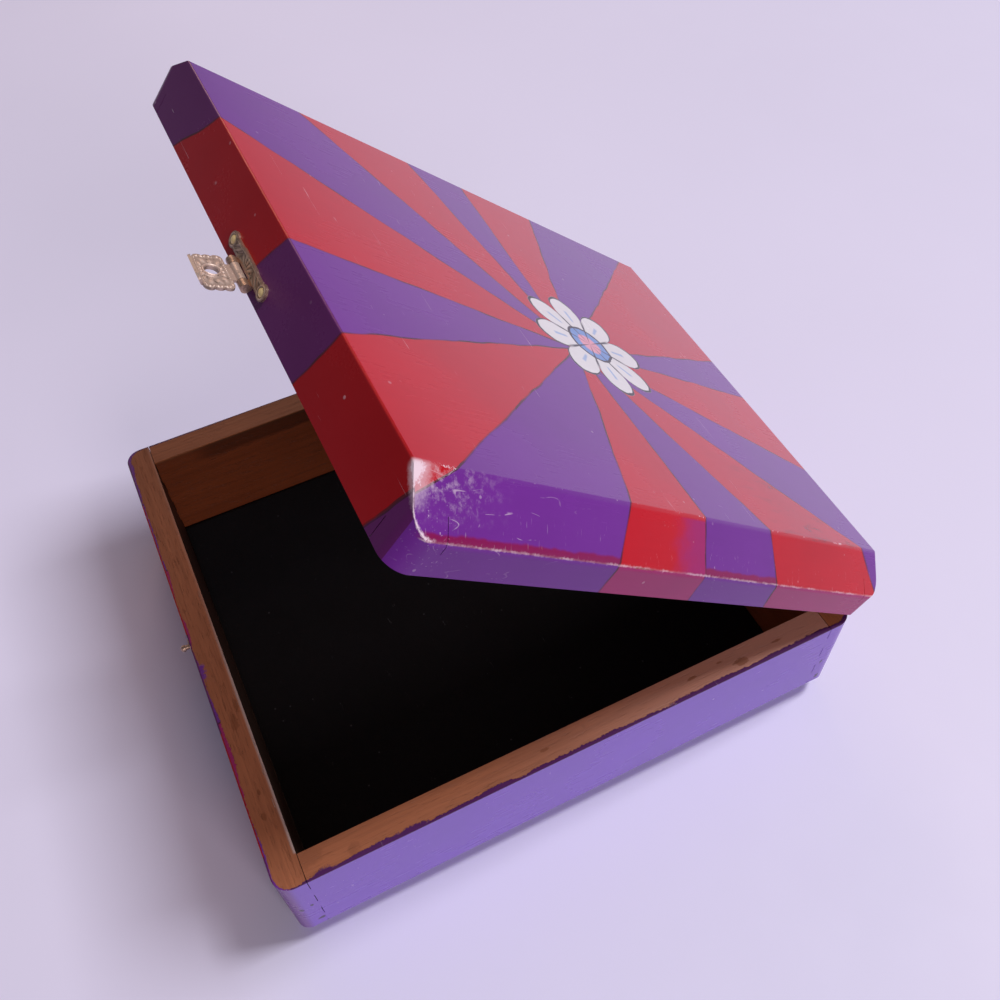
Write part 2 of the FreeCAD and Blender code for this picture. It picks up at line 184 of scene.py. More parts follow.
# How the surfaces answer light, and the painted shade of the base's inner faces
# Painted shade: how dark the inner faces of these boards are painted below the rim, and how warm that shade is
INNER_PAINTED_SHADE = {"base_front_board": 0.12, "base_bottom_board": 0.12, "base_left_board": 0.52}
INNER_PAINTED_SHADE_WARMTH = 0.68
LID_COAT = 0.6
LID_COAT_ROUGHNESS = 0.24
LID_GLOSS = 0.2
BASE_GLOSS = 0.5
FELT_GLOSS = 0.12
FELT_SHEEN = 0.04
PLATED = 0.5  # share of bare metal in the leaf's dull plating
RUBBED = 0.85  # the same for the plate and knuckles, which hands have rubbed
LEAF_FILM, PLATE_FILM = 1.1, 1.7  # how much dark film lies in the ornaments' hollows
RUB_REACH = 1.2

# Colours of marks, lint and the flower, of painted shade on the lid's front and of painted light on the near rim, in
# linear red, green and blue
LOW_BAND = (0.26, 0.005, 0.040)
SMEAR = (0.22, 0.008, 0.012)
# painted shade: darkens and warms the lid's front face
FRONT_PAINTED_SHADE = (0.70, 0.56, 0.40)
BARE_EDGE = (0.52, 0.42, 0.40)
# painted light: lightens the near rim towards the back, against the lid's shadow there
NEAR_RIM_PAINTED_LIGHT = (0.72, 0.38, 0.32)
STAIN = (0.210, 0.052, 0.010)
CHIP = (0.024, 0.005, 0.030)
LINT = (0.10, 0.095, 0.11)
PETAL = (0.78, 0.75, 0.78)
VEIN = (0.24, 0.40, 0.72)
HEART_RING = (0.16, 0.30, 0.66)
HEART = (0.80, 0.34, 0.44)
OUTLINE = (0.012, 0.010, 0.014)

# Lamps: way from the box, distance in metres, power setting and share of it, share of the size setting, colour
LAMPS = {
    "key": ((0.07, 0.43, 0.90), 3.6, "key_power", 1.0, 1.0, (0.98, 0.98, 1.0)),
    "near_fill": ((0.85, 0.10, 0.52), 2.5, "fill_power", 1.3, 1.3, (1.0, 0.88, 0.88)),
    "far_fill": ((-0.78, 0.12, 0.60), 2.5, "fill_power", 0.5, 1.3, (1.0, 0.70, 0.50)),
}
SENSOR_WIDTH = 36.0
NEAREST_SEEN = 0.01
FLOOR_HALF = 6000.0
BACK_WAY = (0.55, 0.83)
BACK_FADE = (315.0, 540.0, 1.0, 0.15)
FRONT_FADE = (-245.0, -480.0, 1.0, 0.25)

# Settings


def colour_setting(name, description, default):
    """A colour that the user may change, in linear red, green and blue."""
    return FloatVectorProperty(
        name=name, description=description, default=default, size=3, min=0.0, max=1.0, subtype="COLOR")


def length_setting(name, description, default):
    """A length that the user may change, in metres."""
    return FloatProperty(
        name=name, description=description, default=default, min=0.0, unit="LENGTH", subtype="DISTANCE", precision=5)


def power_setting(name, description, default):
    """A lamp's power that the user may change, in watts."""
    return FloatProperty(name=name, description=description, default=default, min=0.0, unit="POWER")


def place_setting(name, description, default):
    """A place that the user may change, in metres."""
    return FloatVectorProperty(
        name=name, description=description, default=default, size=3, subtype="XYZ", unit="LENGTH")


class CigarBoxPaint(bpy.types.PropertyGroup):
    """Gloss paint on the outside of the box."""

    red: colour_setting("Red", "Red rays", (0.52, 0.006, 0.016))
    purple: colour_setting("Purple", "Purple rays", (0.165, 0.026, 0.290))
    # Side and Rim are one purple paint in two copies: a lit copy on the sides, with a painted reflection of the pale
    # floor, and a darker copy on the rim
    side: colour_setting("Side", "Purple of the base's sides", (0.215, 0.090, 0.560))
    rim: colour_setting("Rim", "Purple that has run over the rim", (0.080, 0.014, 0.105))
    line: colour_setting("Line", "Thin line between two rays", (0.055, 0.010, 0.016))
    # This pale is also used for the lid's hip and foot lines, which are part wear and part painted highlight
    worn_and_highlight: colour_setting("Worn", "Pale ground where an edge is rubbed", (0.94, 0.76, 0.86))
    line_width: length_setting("Line width", "Width of the line between two rays", 0.65 * MM)
    overlap: length_setting("Overlap", "How far the paint runs over the rim", 0.55 * MM)


class CigarBoxWood(bpy.types.PropertyGroup):
    """Bare cedar inside the box and on its rims."""

    light: colour_setting("Light", "Wood between the grain lines", (0.490, 0.160, 0.066))
    dark: colour_setting("Dark", "Grain lines and pores", (0.165, 0.043, 0.012))


class CigarBoxMetal(bpy.types.PropertyGroup):
    """Hasp, knob and hinges."""

    nickel: colour_setting("Nickel", "Hasp's stamped metal", (0.860, 0.650, 0.560))
    # Dull plating and painted shade: the leaf's back and edges are darkened so they read as its shadow side
    dull_and_shaded_nickel: colour_setting("Dull nickel", "Back and edges of the hasp's leaf", (0.520, 0.390, 0.330))
    rubbed: colour_setting("Rubbed bronze", "High spots of the plate's ornament", (0.740, 0.540, 0.400))
    bronze: colour_setting("Bronze", "Plate, knuckles and knob, where the plating has gone", (0.480, 0.325, 0.245))
    brass: colour_setting("Brass", "Hinges and nails", (0.560, 0.360, 0.150))
    gilt: colour_setting("Gilt", "Heads of the hasp's nails", (0.920, 0.690, 0.330))
    patina: colour_setting("Patina", "Dark film in hollows", (0.060, 0.038, 0.028))
    relief: length_setting("Relief", "Height of the stamped ornament", 0.42 * MM)


class CigarBoxFelt(bpy.types.PropertyGroup):
    """Felt on the floor of the box."""

    felt: colour_setting("Felt", "Black felt", (0.0078, 0.0072, 0.0092))
    thickness: length_setting("Thickness", "Thickness of the felt", 1.05 * MM)
    ripple: length_setting("Ripple", "How far the felt lifts and sinks", 0.10 * MM)


class CigarBoxStage(bpy.types.PropertyGroup):
    """Floor, light and camera."""

    floor: colour_setting("Floor", "Pale floor", (0.740, 0.700, 0.890))
    sky: colour_setting("Sky", "Soft light from all round", (0.128, 0.126, 0.150))
    key_power: power_setting("Key power", "Power of the large soft lamp", 82.0)
    fill_power: power_setting("Fill power", "Power of the two warm lamps at the sides", 15.0)
    key_size: length_setting("Key size", "Side of the large soft lamp", 0.7)
    camera_place: place_setting("Camera", "Where the camera stands", (0.227745, -0.083289, 0.401146))
    camera_aim: place_setting("Aim", "What the middle of the picture shows", (-0.005185, 0.019152, 0.06))
    camera_roll: FloatProperty(
        name="Roll", description="Turn of the camera about its aim", default=math.radians(-2.733),
        subtype="ANGLE", unit="ROTATION")
    camera_lens: FloatProperty(
        name="Lens", description="Focal length on a 36 mm square sensor, in millimetres", default=36.896, min=1.0)


# Node wiring


def math_node(operation):
    """A method that joins a wire and other values by a Math node."""
    return lambda wire, *others: wire.wires.math(operation, wire, *others)


class Wire:
    """One output of a node tree. Sums, products and comparisons of wires and numbers add Math nodes to the tree."""

    def __init__(self, wires, socket):
        self.wires, self.socket = wires, socket

    def __rsub__(self, other):
        return self.wires.math("SUBTRACT", other, self)

    __add__, __sub__, __mul__, __truediv__ = map(math_node, ("ADD", "SUBTRACT", "MULTIPLY", "DIVIDE"))
    __gt__, __lt__, __pow__, __abs__ = map(math_node, ("GREATER_THAN", "LESS_THAN", "POWER", "ABSOLUTE"))

    def within(self, low, high):
        return least(most(self, low), high)

    def ease(self, start, end, low=0.0, high=1.0):
        """A smooth step from low at start to high at end."""
        places = {"Value": self, "From Min": start, "From Max": end, "To Min": low, "To Max": high}
        return self.wires.node("ShaderNodeMapRange", places, interpolation_type="SMOOTHSTEP")

    def steps(self, stops):
        """Hard steps that start black: each stop's grey holds from its place to the next."""
        wire = self.wires.node("ShaderNodeValToRGB", {0: self})
        bar = wire.socket.node.color_ramp
        bar.interpolation = "CONSTANT"
        bar.elements.remove(bar.elements[1])
        for place, grey in stops:
            bar.elements.new(place).color = (grey, grey, grey, 1.0)
        return wire

    def stretch(self, scale):
        return self.wires.node("ShaderNodeVectorMath", {0: self, 1: scale}, operation="MULTIPLY")

    def shift(self, move):
        return self.wires.node("ShaderNodeVectorMath", {0: self, 1: move}, operation="ADD")

    def split(self):
        made = self.wires.node("ShaderNodeSeparateXYZ", {0: self}).socket.node
        return [Wire(self.wires, socket) for socket in made.outputs]

    def noise(self, scale, detail=2.0, roughness=0.5, distortion=0.0, output=0):
        values = {"Vector": self, "Scale": scale, "Detail": detail, "Roughness": roughness, "Distortion": distortion}
        return self.wires.node("ShaderNodeTexNoise", values, output=output)

    def spots(self, scale):
        return self.wires.node("ShaderNodeTexVoronoi", {"Vector": self, "Scale": scale})


def least(first, *others):
    for other in others:
        first = first.wires.math("MINIMUM", first, other)
    return first


def most(first, *others):
    for other in others:
        first = first.wires.math("MAXIMUM", first, other)
    return first


def hypot(first, second):
    return first.wires.math("SQRT", first * first + second * second)


class Wiring:
    """Adds nodes to one tree. Each call gives back a wire from the new node."""

    def __init__(self, tree):
        self.tree = tree

    def node(self, kind, inputs=None, output=0, **settings):
        """A node with its settings made and its inputs filled: wires are linked, other values typed in."""
        made = self.tree.nodes.new(kind)
        for name, value in settings.items():
            setattr(made, name, value)
        for key, value in (inputs or {}).items():
            self.fill(made.inputs[key], value)
        return Wire(self, made.outputs[output])

    def fill(self, socket, value):
        if isinstance(value, Wire):
            self.tree.links.new(value.socket, socket)
        elif socket.type == "RGBA" and len(value) == 3:
            socket.default_value = (*value, 1.0)
        else:
            socket.default_value = value

    def finish(self, build, **inputs):
        """A shared finish's outputs, by name."""
        made = self.tree.nodes.new("ShaderNodeGroup")
        made.node_tree = finish_group(build, inputs)
        for label, value in inputs.items():
            self.fill(made.inputs[label.title()], value)
        return {socket.name: Wire(self, socket) for socket in made.outputs}

    def math(self, operation, *values):
        return self.node("ShaderNodeMath", dict(enumerate(values)), operation=operation)

    def either(self, share, first, second):
        """Plain numbers mixed by a share."""
        return self.node("ShaderNodeMix", {0: share, 2: first, 3: second}, data_type="FLOAT")

    def colour(self, share, first, second, mode="MIX"):
        inputs = {0: share, 6: first, 7: second}
        return self.node("ShaderNodeMix", inputs, output=2, data_type="RGBA", blend_type=mode)

    def shade(self, colour, tone):
        """A colour made lighter or darker by one number."""
        return self.colour(1.0, colour, self.join(tone, tone, tone), "MULTIPLY")

    def join(self, x, y, z):
        return self.node("ShaderNodeCombineXYZ", {0: x, 1: y, 2: z})


SOCKETS = dict.fromkeys(
    ("color", "red", "purple", "line", "ground", "light", "dark", "metal", "patina"), "NodeSocketColor")
SOCKETS["point"] = "NodeSocketVector"
made_finishes = {}


def finish_group(build, labels):
    """A finish's node group, made the first time that it is asked for. The arguments of the function that builds it are
    its inputs, and the wires that the function gives back are its outputs."""
    if build in made_finishes:
        return made_finishes[build]
    tree = bpy.data.node_groups.new(build.__name__, "ShaderNodeTree")

    def add_sockets(way, names):
        for name in names:
            kind = SOCKETS.get(name.lower(), "NodeSocketFloat")
            tree.interface.new_socket(name.title(), in_out=way, socket_type=kind)

    add_sockets("INPUT", labels)
    wires = Wiring(tree)
    entry = tree.nodes.new("NodeGroupInput").outputs
    given = build(wires, **{label: Wire(wires, entry[label.title()]) for label in labels})
    add_sockets("OUTPUT", given)
    leave = tree.nodes.new("NodeGroupOutput").inputs
    for name, wire in given.items():
        wires.fill(leave[name], wire)
    made_finishes[build] = tree
    return tree


# Shared finishes, in millimetres


def round_corner(side, front):
    """Distance in from a rounded corner, from the distances in from its two faces."""
    return CORNER_RADIUS - hypot(most(CORNER_RADIUS - side, 0.0), most(CORNER_RADIUS - front, 0.0))


def skin_group(wires, point, overlap):
    """Where the paint lies. The distance to the nearest outer face, less a ragged overlap, is paint; the second nearest
    face is an edge. Point's third number is the depth below the outer flat face, so that lid and base share it."""
    x, y, depth = point.split()
    side, front = HALF_WIDTH - abs(x), HALF_DEPTH - abs(y)
    bevel = side * LEAN + depth * RISE - LEAN * BEVEL_WIDTH
    outer = least(round_corner(side, front), depth, bevel)
    slow = point.noise(0.034, 3.0).ease(0.34, 0.68, 0.25, 1.9)
    quick = point.noise(0.9, 4.0, 0.6) * 1.5 - 0.75
    near_wide = x.ease(INNER_HALF - 2.0, INNER_HALF + 2.0, 1.0, 1.9)
    front_wide = y.ease(BOARD - HALF_DEPTH, 2.0 - HALF_DEPTH, 1.0, 1.9)
    reach = most(overlap * most(near_wide, front_wide) * slow + quick, 0.25)
    return {
        "Paint": (outer - reach).ease(0.12, -0.12),
        "Edge": least(most(least(side, front), least(depth, bevel)), most(side, front), most(depth, bevel)),
    }


def rub_group(wires, point, edge, reach, amount):
    """Paint rubbed off edges: an edge distance under a reach that noise raises and lowers, with a crumbly border."""
    share = point.noise(0.10, 4.0, 0.6) * 2.0 + amount - 1.5
    ragged = point.noise(1.5, 3.0, 0.6) * 1.6 + edge - 0.8
    return {"Rub": (ragged - share * reach).ease(0.15, -0.15)}


def scuff_and_highlight_group(wires, point):
    """Wear of the lid's near end: a rubbed patch at the top of the front hip, a pale line down the hip and along the
    bevel's foot, cloudy rubbing and crumbs that thin out away from the hip, and scratches on a noise's level lines."""
    x, y, z = point.split()
    drop, front = LID_TOP - z, y + HALF_DEPTH
    slow, quick = point.noise(0.16, 4.0, 0.6), point.noise(1.1, 4.0, 0.65)
    under_bevel = (FLAT - x) * (2.5 * LEAN) + drop * (2.5 * RISE)
    back = most(front, under_bevel)
    ragged = quick * 5.0 + slow * 4.0 + hypot(back * 1.3, drop * 1.1)
    chip = most(ragged.ease(9.6, 7.4, 0.0, 0.90), ragged.ease(13.5, 9.0, 0.0, 0.42))
    hip_gap = most(round_corner(HALF_WIDTH - x, front), under_bevel)
    hip_gap = hip_gap - drop.ease(BEVEL_HEIGHT - 3.0, BEVEL_HEIGHT) * 0.25
    hip = (quick * 1.8 + hip_gap).ease(1.55, 0.85) * slow.ease(0.36, 0.60, 0.30, 0.85)
    hip = hip * front.ease(9.0, 5.0) * drop.ease(BEVEL_HEIGHT + 1.6, BEVEL_HEIGHT)
    foot = (quick * 1.1 + abs(drop - BEVEL_HEIGHT)).ease(0.98, 0.55)
    foot = foot * x.ease(HALF_WIDTH - 1.6, HALF_WIDTH - 0.7) * slow.ease(0.40, 0.62, 0.10, 0.52)
    cloud = point.noise(0.42, 4.0, 0.65).ease(0.46, 0.74, 0.0, 0.42) * back.ease(34.0, 5.0) * drop.ease(9.5, 2.5)
    crumbs = quick.ease(0.62, 0.70, 0.0, 0.45) * (slow * 12.0 + back).ease(26.0, 8.0)
    level = abs(point.shift((31.0, 12.0, 7.0)).stretch((1.5, 0.45, 1.5)).noise(0.12, 1.0) - 0.5)
    scratch = level.ease(0.0085, 0.003) * point.noise(0.21).ease(0.52, 0.62, 0.0, 0.40)
    scratch = scratch * back.ease(70.0, 18.0) * drop.ease(0.0, 0.6) * drop.ease(13.0, 10.5, 0.25, 1.0)
    hairs = point.stretch((0.16, 1.5, 0.3)).noise(1.0, 2.0, 0.6, 0.3).ease(0.67, 0.75, 0.0, 0.18)
    hairs = hairs * drop.ease(4.0, 7.0) * drop.ease(BEVEL_HEIGHT, BEVEL_HEIGHT - 0.5)
    loose = front.ease(0.2, 0.8) * most(cloud, crumbs, scratch, hairs)
    return {"Scuff_And_Highlight": x.ease(FLAT - 1.5, FLAT + 0.5) * most(chip, hip, foot, loose)}


def marks_group(wires, point):
    """Marks of use on the base: round each place the distance in half sizes, made ragged by noise, is under one."""
    ragged = point.noise(0.7, 3.0, 0.6) * 1.4 - 0.7
    marks = {}
    for kind, places in BASE_MARKS.items():
        blots = []
        for middle, half in places:
            offset = point.shift(-Vector(middle)).stretch([1.0 / part for part in half])
            reach = wires.node("ShaderNodeVectorMath", {0: offset}, output="Value", operation="LENGTH")
            blots.append((reach + ragged).ease(1.0, 0.6))
        marks[kind] = most(*blots)
    return marks


def brushed_group(wires, point, color, ground):
    """Gloss paint laid on by hand: stretched noise for brush marks, slow drift of tone, dust nibs and pin scratches."""
    streak = point.stretch((1.0, 0.07, 1.0)).noise(0.75, 3.0, 0.6)
    drift = point.noise(0.022, 3.0, 0.55)
    nib = point.spots(0.16).ease(0.10, 0.05) * point.noise(0.05).ease(0.52, 0.66)
    hair = point.stretch((0.05, 1.3, 1.3)).noise(0.9, 2.0, 0.6, 0.6)
    scratch = hair.ease(0.715, 0.75) * point.noise(0.045).ease(0.50, 0.62)
    marks = most(nib * 0.30, scratch * 0.45)
    shaded = wires.shade(color, drift * 0.36 + streak * 0.08 + 0.78)
    return {
        "Color": wires.colour(marks, shaded, ground),
        "Roughness": drift * 0.12 + streak * 0.03 + marks * 0.25 + 0.19,
        "Height": streak * 0.005 + point.noise(0.55) * 0.020 + nib * 0.05 - scratch * 0.03,
    }


def sunburst_group(wires, point, red, purple, line, width):
    """Rays round a middle: the bearing of each point picks red or purple, and a line lies where the two sides of a
    bearing differ. On the bevels, edges and front the bearing is taken from a point slid along the top's edge, so that
    rays fold over as they do on the box."""
    plain_x, plain_y, z = point.split()
    east_wobble, north_wobble, _ = point.noise(0.06, output=1).split()
    x, y = east_wobble * 2.0 + plain_x - 1.0, north_wobble * 2.0 + plain_y - 1.0
    drop = LID_TOP - z
    on_front = abs(plain_y) > HALF_DEPTH - 0.5
    past_end = drop * 0.28 + x - NEAR_RAY
    at_end = (past_end > -6.0) * (plain_y < 0.0)
    x = x.within(-FLAT, FLAT)
    strip_drop = (drop - BEVEL_HEIGHT).within(0.0, LID_SHOULDER - LID_LOW)
    front_x = (x * -0.005 + 0.45) * drop.within(0.0, 40.0) + x
    lean = y * -0.0095 + 0.1 + y.ease(-60.0, -100.0, 0.0, 1.5)
    side_y = (y * -0.004 - 0.25) * strip_drop + lean * drop.within(0.0, BEVEL_HEIGHT) + y
    east = wires.either(on_front, x, wires.either(at_end, front_x, FLAT)) - SUN_MIDDLE[0]
    north = wires.either(on_front, side_y, wires.either(at_end, y, past_end + NEAR_RAY_END)) - SUN_MIDDLE[1]
    turn = wires.math("ARCTAN2", north, east) * (0.5 / math.pi) + 0.5
    half = width * (0.25 / math.pi) / most(hypot(east, north), 1.0)
    bearings = [math.atan2(v - SUN_MIDDLE[1], u - SUN_MIDDLE[0]) / (2 * math.pi) + 0.5 for u, v in RAY_EDGES]
    stops = [(bearing, 1 - place % 2) for place, bearing in enumerate(bearings)]
    before, after = (wires.math("FRACT", edge).steps(stops) for edge in (turn - half, turn + half))
    on_red = turn.steps(stops)
    at_line = abs(after - before) > 0.5
    rays = wires.colour(on_red, purple, red)
    on_strip = drop.ease(BEVEL_HEIGHT - 0.2, BEVEL_HEIGHT + 0.4, 0.0, 0.45) * (1.0 - on_front)
    rays = wires.colour(on_strip, rays, purple)
    ragged = point.noise(0.22, 3.0) * 3.0 - 1.5
    on_bevel = plain_x.ease(FLAT + 0.6, FLAT + 1.4) * drop.ease(BEVEL_HEIGHT + 0.3, BEVEL_HEIGHT)
    band = (ragged * 0.35 + drop).ease(BEVEL_HEIGHT - 1.75, BEVEL_HEIGHT - 1.15) * on_bevel * (1.0 - on_red)
    band = band * plain_y.ease(1.0 - HALF_DEPTH, 5.0 - HALF_DEPTH) * plain_y.ease(62.0, 50.0, 0.0, 0.8)
    patch = (ragged * 3.0 + side_y).ease(-18.0, -4.0) * side_y.ease(1.0, 0.0, 0.0, 0.45) * on_bevel * on_red
    rays = wires.colour(patch, wires.colour(band, rays, LOW_BAND), purple)
    smear = point.stretch((0.16, 0.05, 0.5)).noise(1.0, 4.0, 0.65, 0.4).ease(0.52, 0.66) * drop.ease(0.8, 0.3)
    smear = smear * plain_x.ease(44.0, 66.0) * plain_y.ease(34.0, 62.0, 0.0, 0.55)
    rays = wires.colour(smear * on_red, rays, SMEAR)
    # Painted shade: the lid's front face is darkened and warmed
    rays = wires.colour(on_front * (plain_y < 0.0), rays, FRONT_PAINTED_SHADE, "MULTIPLY")
    at_line = at_line * point.noise(0.07, 3.0).ease(0.34, 0.62, 0.30, 0.90)
    return {"Color": wires.colour(at_line, rays, line)}


def cedar_group(wires, point, light, dark):
    """Bare cedar with its grain along X: stretched noise for growth lines, short dashes for pores, drift and stains."""
    growth = point.stretch((0.010, 0.30, 0.30)).noise(1.0, 4.0, 0.6, 0.5)
    thread = point.stretch((0.035, 1.9, 1.9)).noise(1.0, 3.0, 0.65)
    pore = point.stretch((0.16, 3.0, 3.0)).noise(1.0).ease(0.60, 0.70)
    stain = point.noise(0.055, 4.0, 0.6).ease(0.60, 0.74)
    share = (growth * 0.75 + thread * 0.55 + point.noise(0.020, 3.0) * 0.5 - 0.5).within(0.0, 1.0)
    share = most(share, pore * 0.45, stain * 0.55)
    return {
        "Color": wires.colour(share, light, dark),
        "Roughness": thread * 0.22 + 0.42,
        "Height": thread * 0.06 - pore * 0.10,
    }


def finger_group(wires, point, low, step):
    """Finger joint lines: within a board of each corner, a line at each level of the joint and at each finger's end."""
    x, y, z = point.split()
    farther = most(HALF_WIDTH - abs(x), HALF_DEPTH - abs(y))
    level = wires.math("PINGPONG", z - low, step * 0.5)
    nearest = least(wires.either(farther.ease(BOARD + 0.2, BOARD), 10.0, level), abs(farther - BOARD))
    ragged = point.noise(0.5) * 0.9 + nearest - 0.45
    return {"Joint": ragged.ease(0.42, 0.05) * point.noise(0.09).ease(0.38, 0.60, 0.15, 1.0)}


def rosette_group(wires, point):
    """A flat painted flower: petals where the distance from its middle is under a radius that waves with the bearing,
    with dark outlines and two rings in the heart."""
    x, y, _ = point.shift((-ROSETTE_MIDDLE[0], -ROSETTE_MIDDLE[1], 0.0)).split()
    reach = hypot(x, y) + point.noise(0.25) * 1.6 - 0.8
    share = reach / ROSETTE_RADIUS
    wave = abs(wires.math("COSINE", wires.math("ARCTAN2", y, x) * (ROSETTE_PETALS / 2))) ** 0.55
    past = reach - (wave * 0.45 + 0.55) * ROSETTE_RADIUS
    seam = (1.0 - wave.ease(0.25, 0.50)) * share.ease(0.70, 0.45)
    outline = abs(past + 0.2).ease(0.75, 0.45)
    ring = abs(reach - ROSETTE_RADIUS * 0.34).ease(0.70, 0.40)
    vein = wave.ease(0.985, 1.0) * abs(reach - ROSETTE_RADIUS * 0.58).ease(4.0, 2.4)
    heart = wires.colour(share.ease(0.20, 0.17), HEART_RING, HEART)
    face = wires.colour(share.ease(0.355, 0.335), wires.colour(vein * 0.75, PETAL, VEIN), heart)
    return {
        "Color": wires.colour(most(outline, ring, seam), face, OUTLINE),
        "Cover": past.ease(0.55, 0.30),
    }


def aged_metal_group(wires, point, metal, patina, hollow):
    """Old plated metal: dark film in hollows and blotches, rubbed bright elsewhere, with pits."""
    blotch = point.noise(0.55, 4.0, 0.6).ease(0.54, 0.76)
    fine = point.noise(3.5, 3.0, 0.6)
    film = (blotch * 0.55 + fine * 0.30 + hollow * 0.55 - 0.14).within(0.0, 0.85)
    return {
        "Color": wires.colour(film, metal, patina),
        "Roughness": film * 0.28 + fine * 0.14 + 0.30,
        "Height": fine * 0.035 - point.spots(1.1).ease(0.16, 0.08) * 0.05,
    }


# Materials


def start_material(name):
    """A new material: its wiring, its Principled shader and its coordinates."""
    material = bpy.data.materials.new(name)
    material.use_nodes = True
    wires = Wiring(material.node_tree)
    shader = material.node_tree.nodes["Principled BSDF"]
    return material, wires, shader, wires.node("ShaderNodeTexCoord", output="Object")


def in_millimetres(wires, place):
    return wires.node("ShaderNodeMapping", {"Vector": place, "Scale": (1 / MM,) * 3})


def with_lid_shut(wires, place):
    """Coordinates turned back about the hinge to the shut lid, in millimetres."""
    turn = Matrix.Rotation(LID_TURN, 3, "X")
    axis = Vector(LID_AXIS)
    back = {"Location": axis - turn @ axis, "Rotation": (LID_TURN, 0.0, 0.0)}
    return wires.node("ShaderNodeMapping", {"Vector": place, "Scale": (1 / MM,) * 3, **back})


def fill_shader(wires, shader, **inputs):
    """Fill a shader's inputs, given with underscores for spaces; Height goes through a Bump node to Normal."""
    for name, value in inputs.items():
        if name == "Height":
            name, value = "Normal", wires.node("ShaderNodeBump", {"Height": value, "Strength": 1.0, "Distance": MM})
        wires.fill(shader.inputs[name.replace("_", " ")], value)


def bare_wood(wires, cedar, marks, point, node, inner_painted_shade):
    """The base's bare cedar: a pale inner edge on the front rim, a bleached near rim, stains, and inner faces that
    darken and warm below the rim, the more so in a band under it on the far walls."""
    x, y, z = point.split()
    below = RIM - z
    bare = cedar["Color"]
    if node == "base_front_board":
        edge = (cedar["Height"] * 9.0 + (BOARD - HALF_DEPTH) - y).ease(1.5, 0.5, 0.0, 0.75)
        edge = edge * x.ease(-30.0, 30.0, 0.2, 1.0) * x.ease(INNER_HALF, INNER_HALF - 1.0)
        bare = wires.colour(edge, bare, BARE_EDGE)
    if node == "base_right_board":
        # Painted light: the near rim's wood grows lighter towards the back, against the lid's shadow there
        bare = wires.colour(y.ease(-60.0, 110.0, 0.0, 0.45), bare, NEAR_RIM_PAINTED_LIGHT)
    bare = wires.colour(marks["Stain"] * 0.65, bare, STAIN)
    # Painted shade: inner faces darken below the rim and take a warm tint, and a painted shadow darkens a band just
    # under the rim
    shadow = (cedar["Height"] * 20.0 + below).ease(10.5, 8.0) * y.ease(-92.0, -80.0, 0.0, 0.45)
    tone = below.ease(0.3, 1.2, 1.0, inner_painted_shade) * (1.0 - shadow * below.ease(0.2, 0.7))
    warm = below.ease(0.8, 2.2, 1.0, INNER_PAINTED_SHADE_WARMTH)
    return wires.colour(1.0, bare, wires.join(tone, tone * warm, tone * warm * warm), "MULTIPLY")


